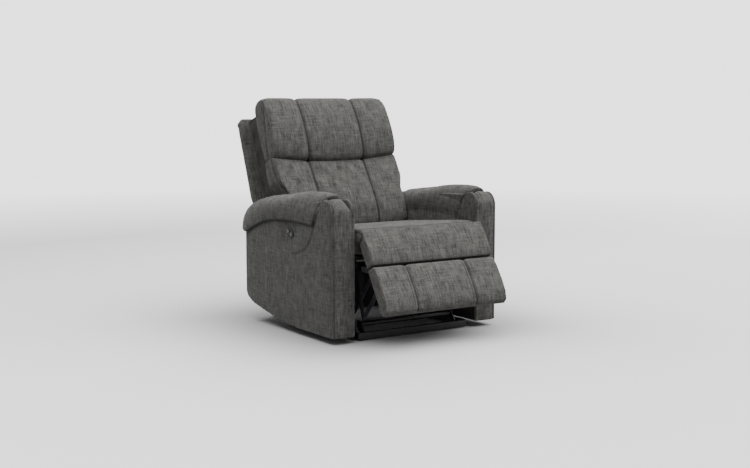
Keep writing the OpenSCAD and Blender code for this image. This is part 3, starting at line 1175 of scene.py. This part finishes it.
@dataclass
class SeatCushion:
    """The seat with its rolled front edge."""

    half: float = 0.3165
    outline: Sequence[Point] = (
        (0.094, 0.378), (0.095, 0.438), (0.088, 0.450), (0.038, 0.457), (-0.060, 0.463),
        (-0.150, 0.471), (-0.250, 0.481), (-0.330, 0.4895), (-0.362, 0.4905), (-0.384, 0.4870),
        (-0.410, 0.4862), (-0.424, 0.482), (-0.4315, 0.474), (-0.4325, 0.462), (-0.429, 0.448),
        (-0.420, 0.438), (-0.405, 0.435), (-0.384, 0.432), (-0.374, 0.424), (-0.374, 0.378))

    def front_seam(self, points: np.ndarray) -> np.ndarray:
        """Return the distance from the seam along the knee edge."""
        return chain_distance(points, [(-0.388, 0.4865), (-0.412, 0.486)], SIDE_PLANE)

    def side_seam(self, points: np.ndarray) -> np.ndarray:
        """Return the distance from the seam between the top and the side boxing.

        Args:
            points: Rows of points in the chair's frame.

        Returns:
            One distance for each point.
        """
        top = np.interp(points[:, 1], [-0.44, -0.40, -0.15, 0.09], [0.470, 0.476, 0.456, 0.436])
        on_side = smooth_step(np.abs(points[:, 0]), self.half - 0.03, self.half - 0.012)
        return np.abs(points[:, 2] - top) + OFF_SEAM * (1 - on_side)

    def build(self) -> None:
        """Make the seat cushion."""
        piece = block_from_outline("seat_cushion_cover", self.outline, -self.half, self.half, LEVEL, 0.009)
        remesh(piece, 0.0080)
        ease(piece, 2)

        def held(points: np.ndarray) -> np.ndarray:
            """Tell which points are held.

            Args:
                points: Rows of points in the chair's frame.

            Returns:
                True where a point is held.
            """
            low = (points[:, 2] < 0.430) | (points[:, 1] > 0.085)
            knee = points[:, 1] < -0.378
            sides = np.abs(points[:, 0]) > self.half - 0.003
            return low | knee | sides | (self.side_seam(points) < 0.004)

        swell(piece, held, 0.020, 2.6)
        # Painted shade: both seams darken the cloth; the knee edge line is only painted shade, not pulled
        # in.
        seams = [Seam(self.side_seam, 0.003, 0.007, 0.8), Seam(self.front_seam, 0.0, 0.012, 0.7)]
        upholster(piece, "seat", seams, LEVEL, ["seat_cushion"])


@dataclass
class RearCurtain:
    """The black dust cloth that hangs between the arms, below the back, also standing in for the shade
    beneath the chair.
    """

    width: float = 0.640
    drop: float = 0.190
    top: float = 0.205
    depth: float = 0.368

    def build(self) -> None:
        """Make the cloth with its slack folds."""

        def place(u: np.ndarray, v: np.ndarray) -> np.ndarray:
            """Return the hanging cloth's points.

            Args:
                u: Places across the sheet, from 0 to 1.
                v: Places along it, from 0 to 1.

            Returns:
                One row for each point.
            """
            slack = 0.0035 * np.sin(23 * u + 2 * v) * (1 - 0.7 * v) + 0.0015 * np.sin(61 * u)
            x = (u - 0.5) * self.width
            return np.stack([x, self.depth + slack, self.top - self.drop * (1 - v)], axis=1)

        # Painted shade: a black sheet that hides the lit floor behind, so the space under the back reads as
        # shade.
        piece = formed_sheet("rear_dust_and_shade_curtain", 90, 24, place, 0.0012)
        upholster(piece, "base", [], LEVEL, finish=Finish.LINING)


@dataclass
class FootrestPads:
    """The two pads of the footrest and the cloth over its board."""

    half: float = 0.3185
    channel: float = 0.155
    row_gap: float = 0.016

    def build(self) -> None:
        """Make both pads, the board's cover and the stitching."""
        self.upper()
        self.lower()
        self.board()

    def upper(self) -> None:
        """Make the pad that wraps from the knee roll down to the middle seam."""
        outline = [(-0.0345, 0.014), (-0.0375, 0.0), (-0.040, -0.030), (-0.042, -0.08), (-0.040, -0.130),
                   (-0.031, -0.1515), (0.0, -0.1545), (0.012, -0.153), (0.0135, -0.090), (0.0125, -0.042),
                   (0.003, -0.031), (-0.006, -0.029), (-0.016, -0.0255), (-0.0245, -0.016),
                   (-0.0285, -0.004), (-0.029, 0.010), (-0.032, 0.0145)]
        piece = block_from_outline("footrest_upper_cover", outline, -self.half, self.half, KNEE, 0.003)
        remesh(piece, 0.0048)

        def held(points: np.ndarray) -> np.ndarray:
            """Tell which points are held.

            Args:
                points: Rows of points in the chair's frame.

            Returns:
                True where a point is held.
            """
            local = KNEE.inward(points)
            wrap = np.hypot(local[:, 1], local[:, 2]) < 0.0315
            rim = (local[:, 1] > -0.02) | (local[:, 2] > 0.004) | (local[:, 2] < -0.150) | wrap
            return rim | (np.abs(local[:, 0]) > self.half - 0.006)

        swell(piece, held, 0.010, 2.2)
        # Painted shade: the fold under the knee roll darkens the cloth.
        fold = Seam(lambda points: KNEE.inward(points)[:, 2] + 0.1535, 0.002, 0.008, 0.9)
        upholster(piece, "footrest", [fold], KNEE, ["footrest_upper_pad"])

    def channels(self, points: np.ndarray) -> np.ndarray:
        """Return the distance from the two seams down the front of the lower pad."""
        local = KNEE.inward(points)
        return np.abs(np.abs(local[:, 0]) - self.channel) + 0.5 * smooth_step(local[:, 1], -0.016, -0.004)

    def topstitch(self, points: np.ndarray) -> np.ndarray:
        """Return the distance from the rows sewn beside the two seams.

        Args:
            points: Rows of points in the chair's frame.

        Returns:
            One distance for each point.
        """
        local = KNEE.inward(points)
        row = np.abs(np.abs(local[:, 0] + self.row_gap) - self.channel)
        return row + 0.5 * smooth_step(local[:, 1], -0.030, -0.018)

    def lower(self) -> None:
        """Make the long pad under the calves."""
        outline = [(-0.029, -0.1565), (-0.039, -0.168), (-0.046, -0.21), (-0.048, -0.27),
                   (-0.045, -0.33), (-0.033, -0.364), (-0.010, -0.375), (0.006, -0.369), (0.0125, -0.354),
                   (0.0135, -0.26), (0.0125, -0.1565)]
        piece = block_from_outline("footrest_lower_cover", outline, -self.half, self.half, KNEE, 0.009)
        remesh(piece, 0.0060)
        ease(piece, 1)

        def held(points: np.ndarray) -> np.ndarray:
            """Tell which points are held.

            Args:
                points: Rows of points in the chair's frame.

            Returns:
                True where a point is held.
            """
            local = KNEE.inward(points)
            rear = (local[:, 1] > 0.004) | (local[:, 2] > -0.160)
            sides = np.abs(local[:, 0]) > self.half - 0.003
            return rear | sides | (self.channels(points) < 0.004)

        swell(piece, held, 0.014, 3.0)
        # Painted shade: the channel seams, the rows beside them and the middle seam darken the cloth.
        seams = [Seam(self.channels, 0.004, 0.009, 0.85, 0.0025), Seam(self.topstitch, 0.001, 0.005, 0.6),
                 Seam(lambda points: KNEE.inward(points)[:, 2] + 0.1575, 0.001, 0.006, 0.9)]
        upholster(piece, "footrest", seams, KNEE, ["footrest_lower_pad"])
        needle = Needle("footrest_stitching")
        for middle in (-self.channel, self.channel):
            for x in (middle - self.row_gap, middle + 0.007):
                needle.line(piece, KNEE, [(x, -0.2, -0.172), (x, -0.2, -0.350)])
        place_piece(needle.finish(), "footrest")

    def board(self) -> None:
        """Cover the footrest board in the same cloth as the pads."""
        outline = [(0.0145, -0.063), (0.0145, -0.361), (0.0285, -0.361), (0.0285, -0.063)]
        piece = block_from_outline("footrest_board_cover", outline, -0.3, 0.3, KNEE, 0.0)
        apply_modifier(piece, "BEVEL", width=0.004, segments=3)
        settle(piece)
        upholster(piece, "footrest", [], KNEE, ["footrest_board"])


# ---------------------------------------------------------------- arms


@dataclass
class Arm:
    """One arm's upholstery, built on the sitter's right and mirrored to the left."""

    inner: float = -0.327
    outer: float = -0.438
    front: float = -0.400
    rear: float = 0.383
    corner: Point = (-0.336, 0.555)
    radius: float = 0.064
    low: float = 0.028
    pad_width: float = 0.1335
    pieces: list[bpy.types.Object] = field(default_factory=list)

    TOP: Sequence[Point] = (
        (-0.338, 0.632), (-0.300, 0.641), (-0.245, 0.644), (-0.160, 0.644), (-0.070, 0.640),
        (0.012, 0.631), (0.105, 0.620), (0.198, 0.605), (0.295, 0.580), (0.360, 0.556),
        (0.405, 0.530), (0.432, 0.500), (0.443, 0.468), (0.438, 0.430))
    HEM: Sequence[Point] = (
        (-0.250, 0.498), (-0.205, 0.500), (-0.160, 0.502), (-0.110, 0.5035), (-0.060, 0.504),
        (-0.010, 0.503), (0.045, 0.500), (0.100, 0.495), (0.160, 0.486), (0.215, 0.472),
        (0.262, 0.455), (0.300, 0.441), (0.332, 0.428), (0.363, 0.416))

    def build(self) -> None:
        """Make the right arm and its mirror image."""
        self.pieces.append(self.panel("arm_outer_cover", self.outer, self.outer + 0.0145, True))
        self.pieces.append(self.panel("arm_inner_cover", self.inner - 0.0145, self.inner, False))
        self.pieces.append(self.front_band())
        self.pieces.append(self.rear_panel())
        self.pieces.append(self.pad())
        nodes = ["arm_outer_panels", "arm_inner_panels", "arm_front_bands", "arm_rear_panels", "arm_pads"]
        for piece, node in zip(self.pieces, nodes):
            twin = mirrored(piece, f"{piece.name}_left")
            piece.name = piece.data.name = f"{piece.name}_right"
            for cover in (piece, twin):
                dress(cover, Finish.CLOTH)
                if node == "arm_inner_panels":
                    self.line_and_shade_inside(cover)
                place_piece(cover, "base", [node])
        self.stitching()

    def line_and_shade_inside(self, cover: bpy.types.Object) -> None:
        """Give the inner panel's hidden lower part the black lining, which also stands in for the shade
        below the seat.

        Args:
            cover: The piece that is sewn.
        """
        across, depth, height = 0.332, -0.385, 0.415
        cover.data.materials.append(Finish.LINING.material)
        # Painted shade: faces low on the inner side and behind the front are set black, as a lining in
        # shadow.
        for face in cover.data.polygons:
            if face.center.z < height and abs(face.center.x) < across and face.center.y > depth:
                face.material_index = 1

    def arc(self, radius: float, stop: float = math.pi / 2, count: int = 9) -> list[Point]:
        """Return points round the front corner of the arm, from the front upwards.

        Args:
            radius: The arc's radius.
            stop: The angle where it ends.
            count: The number of points.

        Returns:
            Points as (depth, height).
        """
        return [(self.corner[0] - radius * math.cos(turn), self.corner[1] + radius * math.sin(turn))
                for turn in np.linspace(0, stop, count)]

    def side_outline(self) -> list[Point]:
        """Return the outline of a side panel, inside the front band."""
        top = [(-0.306, 0.606), (0.0, 0.590), (0.198, 0.558), (0.295, 0.533), (self.rear, 0.472)]
        heel = [(self.rear, 0.140), (0.379, 0.122), (0.366, 0.109), (0.300, 0.085), (0.200, 0.065),
                (0.050, 0.041), (-0.100, 0.0285), (-0.3985, self.low)]
        return self.arc(self.radius - 0.002) + top + heel

    def panel(self, name: str, low: float, high: float, crowned: bool) -> bpy.types.Object:
        """Make one side panel.

        Args:
            name: The piece's name.
            low: Its lowest place across the chair.
            high: Its highest place across the chair.
            crowned: Whether the padding swells outwards.

        Returns:
            The panel.
        """
        piece = block_from_outline(name, self.side_outline(), low, high, LEVEL, 0.005)
        remesh(piece, 0.0082)
        # Painted shadow: a dark line on the panel under the pad's front edge and hem.
        seams = [Seam(self.pad_edge, 0.001, 0.016, 0.9)]
        if crowned:
            points = vertices_of(piece)
            rim = np.minimum.reduce([points[:, 1] - self.front, self.rear - points[:, 1],
                                     points[:, 2] - self.low])
            from_switch = np.hypot(points[:, 1] + 0.043, points[:, 2] - 0.45)
            lift = 0.006 * smooth_step(rim, 0.0, 0.09) * smooth_step(from_switch, 0.045, 0.110)
            points[:, 0] -= lift * smooth_step(-points[:, 0], -(low + 0.006), -low)
            move_vertices(piece, points)
            # Painted shade: the pocket seam and the seam to the front band darken the cloth.
            seams += [Seam(self.pocket_seam, 0.002, 0.006, 0.5), Seam(self.front_seam, 0.002, 0.007, 0.75)]
        refine(piece)
        sew(piece, seams)
        lay_cloth(piece)
        return piece

    POCKET: Sequence[Point] = (
        (-0.250, 0.500), (-0.240, 0.468), (-0.226, 0.436), (-0.208, 0.413), (-0.186, 0.396),
        (-0.158, 0.381), (-0.125, 0.370), (-0.095, 0.362), (-0.062, 0.357))
    EDGE: Sequence[Point] = (
        (-0.250, 0.490), (-0.262, 0.530), (-0.280, 0.572), (-0.305, 0.605), (-0.336, 0.632))

    def pocket_seam(self, points: np.ndarray) -> np.ndarray:
        """Return the distance from the curved seam under the switch."""
        return chain_distance(points, self.POCKET, SIDE_PLANE)

    def front_seam(self, points: np.ndarray) -> np.ndarray:
        """Return the distance from the seam between the side and the front band."""
        chain = [(self.front, self.low - 0.05), *self.arc(self.radius)]
        return chain_distance(points, chain, SIDE_PLANE)

    def pad_edge(self, points: np.ndarray) -> np.ndarray:
        """Return the distance from the front edge and the hem of the pillow top."""
        edge, hem = (chain_distance(points, chain, SIDE_PLANE) for chain in (self.EDGE, self.HEM))
        return np.minimum(edge, hem)

    def front_band(self) -> bpy.types.Object:
        """Make the crowned band that runs up the front and back over the arm."""
        half = 0.5 * (self.inner + 0.004 - self.outer) - 0.004
        middle = 0.5 * (self.inner + self.outer) - 0.001
        straight = self.corner[1] - self.low
        bend = self.radius * math.pi / 2
        whole = straight + bend + 0.040

        def place(u: np.ndarray, v: np.ndarray) -> np.ndarray:
            """Return the band's points, u across it and v along it.

            Args:
                u: Places across the sheet, from 0 to 1.
                v: Places along it, from 0 to 1.

            Returns:
                One row for each point.
            """
            travel = v * whole
            turn = np.clip((travel - straight) / self.radius, 0, math.pi / 2)
            past = np.maximum(travel - straight - bend, 0)
            across = 2 * u - 1
            narrow = 1 - 0.07 * smooth_step(-travel, -0.10, 0.0) * (across > 0)
            over = smooth_step(turn, 0.0, 1.0)
            crown = 0.011 * np.abs(across) ** 3.2 + 0.004 * over * across**2
            inner = over * np.maximum(across, 0) ** 2.6
            reach = self.radius - crown - 0.030 * inner
            centre = self.corner[1] - 0.034 * inner
            depth = self.corner[0] - reach * np.cos(turn) + past
            roof = centre + reach * np.sin(turn) - 0.35 * past
            height = np.where(travel < straight, self.low + travel, roof)
            return np.stack([middle + half * across * narrow, depth, height], axis=1)

        piece = formed_sheet("arm_front_band", 28, 150, place, 0.018)
        remesh(piece, 0.0056)

        def held(points: np.ndarray) -> np.ndarray:
            """Tell which points are held.

            Args:
                points: Rows of points in the chair's frame.

            Returns:
                True where a point is held.
            """
            edge = np.abs(points[:, 0] - middle) > half - 0.006
            inside = (points[:, 1] > self.front + 0.013) & (points[:, 2] < 0.56)
            return edge | inside | (points[:, 2] < self.low + 0.01)

        swell(piece, held, 0.007, 2.0)
        # Painted shade: a dark line along the band's outer edge, not pulled in, and under the pad's edge.
        rim = Seam(lambda points: np.abs(points[:, 0] - self.outer) + OFF_SEAM * (points[:, 2] > 0.60),
                   0.0, 0.010, 0.6)
        sew(piece, [rim, Seam(self.pad_edge, 0.003, 0.016, 0.9)])
        lay_cloth(piece)
        return piece

    def rear_panel(self) -> bpy.types.Object:
        """Make the panel that closes the rear of the arm."""
        outline = [(self.rear - 0.012, 0.126), (self.rear + 0.002, 0.132), (self.rear + 0.004, 0.30),
                   (self.rear + 0.002, 0.462), (self.rear - 0.012, 0.462)]
        piece = block_from_outline("arm_rear_cover", outline, self.outer + 0.001, self.inner - 0.001, LEVEL,
                                   0.003)
        remesh(piece, 0.006)
        ease(piece, 2)
        sew(piece, [])
        lay_cloth(piece)
        return piece

    def pad(self) -> bpy.types.Object:
        """Make the pillow top that is draped over the arm like a saddle."""
        middle = 0.5 * (self.inner + self.outer) - 0.0045
        half = 0.5 * self.pad_width
        stations = np.linspace(0, 1, len(self.TOP))
        top, hem = np.array(self.TOP), np.array(self.HEM)

        def place(u: np.ndarray, v: np.ndarray) -> np.ndarray:
            """Return the pad's points, u over the arm and v along it.

            Args:
                u: Places across the sheet, from 0 to 1.
                v: Places along it, from 0 to 1.

            Returns:
                One row for each point.
            """
            turn = math.pi * u
            square = 0.74 + 0.14 * smooth_step(u, 0.45, 0.6)
            sideways = np.sign(np.cos(turn)) * np.abs(np.cos(turn)) ** square
            lift = np.abs(np.sin(turn)) ** 0.88
            t = [np.interp(v, stations, top[:, column]) for column in (0, 1)]
            h = [np.interp(v, stations, hem[:, column]) for column in (0, 1)]
            depth = h[0] + (t[0] - h[0]) * lift
            low = h[1] - 0.055 * smooth_step(u, 0.5, 0.9)
            height = low + (t[1] - low) * lift
            return np.stack([middle - half * sideways, depth, height], axis=1)

        piece = formed_sheet("arm_pad", 64, 130, place, 0.026)
        remesh(piece, 0.0070)
        ease(piece, 4)

        def held(points: np.ndarray) -> np.ndarray:
            """Tell which points are held.

            Args:
                points: Rows of points in the chair's frame.

            Returns:
                True where a point is held.
            """
            hem_height = np.interp(points[:, 1], hem[:, 0], hem[:, 1])
            low = points[:, 2] < hem_height + 0.006
            core = np.stack([np.full(len(points), middle), hem_height + 0.02], axis=1)
            from_core = points[:, [0, 2]] - core
            under = np.sum(from_core * normals_of(piece)[:, [0, 2]], axis=1) < 0
            return low | under

        swell(piece, held, 0.014, 3.6)
        points = vertices_of(piece)
        limit = -0.3190 + 0.008 * smooth_step(points[:, 2], 0.50, 0.56)
        points[:, 0] = np.minimum(points[:, 0], limit)
        move_vertices(piece, points)

        def hem_line(points: np.ndarray) -> np.ndarray:
            """Return the distance from the hem on the arm's outer side."""
            return chain_distance(points, self.HEM, SIDE_PLANE) + OFF_SEAM * (points[:, 0] > middle)

        def front_line(points: np.ndarray) -> np.ndarray:
            """Return the distance from the pad's front edge."""
            return chain_distance(points, self.EDGE, SIDE_PLANE)

        # Painted shadow: dark lines along the pad's hem and front edge, not pulled in.
        sew(piece, [Seam(hem_line, 0.0, 0.012, 0.85), Seam(front_line, 0.0, 0.012, 0.7)])
        lay_cloth(piece)
        return piece

    def stitching(self) -> None:
        """Sew the double rows beside the front seams and along the pocket seams."""
        needle = Needle("arm_stitching")
        rows = [[(self.front + offset, self.low + 0.01), *self.arc(self.radius - offset, 1.25, 12)]
                for offset in (0.010, 0.020)]
        rows += [[(y + offset * 0.6, z + offset * 0.8) for y, z in self.POCKET]
                 for offset in (-0.006, 0.006)]
        for row in rows:
            starts = path([(self.outer - 0.05, y, z) for y, z in row])
            needle.row(self.pieces[0], starts, Vector((1, 0, 0)))
        right = needle.finish()
        left = mirrored(right, "arm_stitching_left")
        right.name = right.data.name = "arm_stitching_right"
        for piece in (right, left):
            dress(piece, Finish.THREAD)
            place_piece(piece, "base")


# ---------------------------------------------------------------- frame finishes


SLOT_FINISHES: dict[str, Finish] = {
    "weave_fabric": Finish.CLOTH,
    "dust_cloth": Finish.LINING,
    "webbing": Finish.WEBBING,
    "base_steel": Finish.FRAME_STEEL,
    "link_steel": Finish.LINK_STEEL,
    "bright_steel": Finish.BRIGHT_STEEL,
    "track_alloy": Finish.ALLOY,
    "frame_wood": Finish.TIMBER,
    "black_plastic": Finish.BLACK_PLASTIC,
    "button_plastic": Finish.BUTTON_PLASTIC,
    "white_nylon": Finish.NYLON,
}


def dress_frame() -> None:
    """Give every CAD node the finish of its slot."""
    for part in frame["record"]["subparts"]:
        node = frame["nodes"][part["node"]]
        finish = SLOT_FINISHES[part["material_slot"]]
        if not node.material_slots:
            node.data.materials.append(finish.material)
        for slot in node.material_slots:
            slot.material = finish.material


# ---------------------------------------------------------------- studio


@dataclass(frozen=True)
class Studio:
    """A pale floor that fades into the backdrop, soft lights and the camera."""

    camera_place: tuple[float, float, float] = (-3.030, -4.6095, 1.0388)
    camera_yaw: float = math.radians(33.655)
    camera_pitch: float = math.radians(6.482)
    lens: float = 57.29
    floor_reach: float = 40.0
    backdrop: float = 2.6
    fill: float = 0.42
    sun: float = 5.7

    def build(self) -> None:
        """Make the camera, the floor, the backdrop and the lights."""
        self.camera()
        self.floor()
        self.lights()

    def camera(self) -> None:
        """Add the camera."""
        data = bpy.data.cameras.new("camera")
        data.lens = self.lens
        data.sensor_width = 36.0
        camera = bpy.data.objects.new("camera", data)
        camera.location = self.camera_place
        camera.rotation_euler = (math.pi / 2 - self.camera_pitch, 0.0, -self.camera_yaw)
        bpy.context.collection.objects.link(camera)
        bpy.context.scene.camera = camera

    def floor(self) -> None:
        """Add the floor, with painted shade towards the rear and a painted shadow round the chair, which
        turns into the backdrop's tone far from the chair.
        """
        deselect()
        bpy.ops.mesh.primitive_circle_add(vertices=96, radius=self.floor_reach, fill_type="TRIFAN")
        floor = bpy.context.object
        floor.name = floor.data.name = "studio_floor"
        mix = Recipe("pale_paper")
        place = mix.coords()
        away = mix.node("ShaderNodeVectorMath", {"operation": "LENGTH"}, {0: place}, "Value")
        x, y = (mix.node("ShaderNodeSeparateXYZ", {}, {0: place}, axis) for axis in "XY")
        # Painted shade: the floor's colour darkens towards the rear.
        rear_shade = ((y - x * 0.35 - 0.2) * 0.27).clipped()
        far = ((away - 3.9) * 0.22).clipped()
        fleck = mix.noise(place, 60.0)
        # Painted shadow: the floor's colour darkens round the chair's footprint, a soft contact shadow.
        across, along = (abs(x) - 0.40).raised(), (abs(y) - 0.36).raised()
        shadow_falloff = (across * across + along * along) * 5.0 + 1.0
        pale = mix.blend(rear_shade, (0.93, 0.93, 0.932), (0.62, 0.62, 0.623))
        colour = mix.blend(((shadow_falloff**-1.0) * 0.85).clipped(), pale, (0.33, 0.33, 0.335))
        mix.feed("Base Color", mix.blend((fleck * 0.03).clipped(), colour, (0.5, 0.5, 0.5)))
        mix.feed("Roughness", 0.9)
        mix.feed("Specular IOR Level", 0.1)
        glow = mix.node("ShaderNodeEmission", {}, {"Color": (1, 1, 1, 1), "Strength": self.backdrop})
        paper = Wire(mix.tree, mix.shader.outputs[0])
        both = mix.node("ShaderNodeMixShader", {}, {"Fac": far, 1: paper, 2: glow})
        plug(mix.tree, mix.out.inputs["Surface"], both)
        floor.data.materials.append(mix.material)
        floor.visible_diffuse = False

    def lights(self) -> None:
        """Add the even backdrop, which lights the chair only a little, and the soft overhead light."""
        world = bpy.data.worlds.new("backdrop")
        world.use_nodes = True
        tree = world.node_tree
        ground = tree.nodes["Background"]
        ground.inputs["Color"].default_value = (1, 1, 1, 1)
        seen = tree.nodes.new("ShaderNodeLightPath")
        level = tree.nodes.new("ShaderNodeMix")
        level.inputs["A"].default_value = self.fill
        level.inputs["B"].default_value = self.backdrop
        tree.links.new(seen.outputs["Is Camera Ray"], level.inputs["Factor"])
        tree.links.new(level.outputs["Result"], ground.inputs["Strength"])
        bpy.context.scene.world = world
        data = bpy.data.lights.new("overhead", "SUN")
        data.energy = self.sun
        data.angle = math.radians(92)
        lamp = bpy.data.objects.new("overhead", data)
        lamp.rotation_euler = Vector((-0.12, 0.18, -1.0)).to_track_quat("-Z", "Y").to_euler()
        lamp.location = (0.3, -0.4, 3.0)
        bpy.context.collection.objects.link(lamp)


def main() -> None:
    """Build the whole chair and its studio."""
    logging.basicConfig(level=logging.INFO, format="%(message)s")
    Studio().build()
    dress_frame()
    BackCushions().build()
    RearShell().build()
    SeatCushion().build()
    RearCurtain().build()
    FootrestPads().build()
    Arm().build()
    deselect()


if __name__ == "__main__":
    main()
